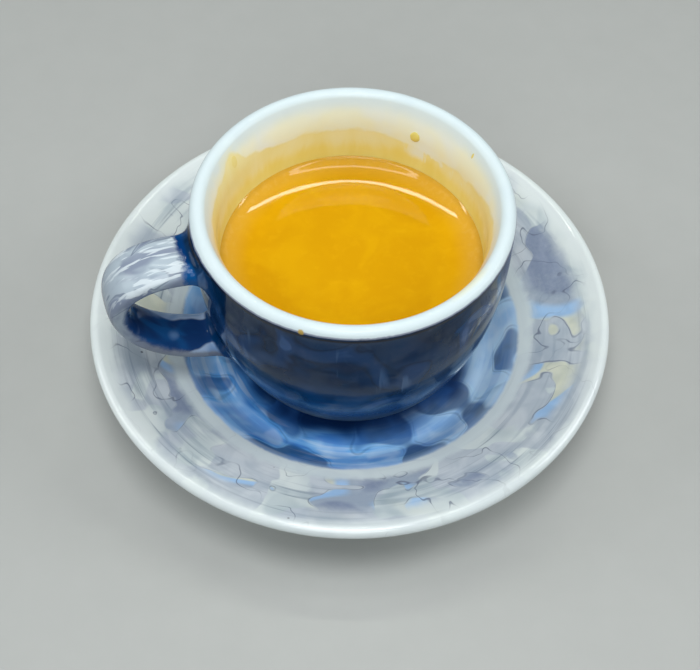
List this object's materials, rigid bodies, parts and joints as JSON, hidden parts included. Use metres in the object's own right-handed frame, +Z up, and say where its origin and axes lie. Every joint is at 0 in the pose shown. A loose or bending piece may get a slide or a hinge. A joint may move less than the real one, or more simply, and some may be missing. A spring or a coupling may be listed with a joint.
{
  "type": "espresso in a cup on its saucer",
  "caption": "Espresso with a golden crema in a thick-walled, round-bottomed cup with a strap handle, standing on a shallow saucer with a glazed well.",
  "frame": {"origin": "middle of the saucer's foot ring, on the surface it stands on", "axes": "+Z up; -Y towards the person who drinks; the cup's handle points to -X, turned 18.9 degrees towards -Y"},
  "size_m": [0.116, 0.116, 0.0531],
  "materials": {
    "saucer_glaze": "gloss",
    "cup_glaze": "gloss",
    "espresso": "gloss"
  },
  "bodies": {
    "root": {"saucer": "saucer_glaze", "cup": "cup_glaze", "espresso": "espresso"}
  },
  "joints": []
}
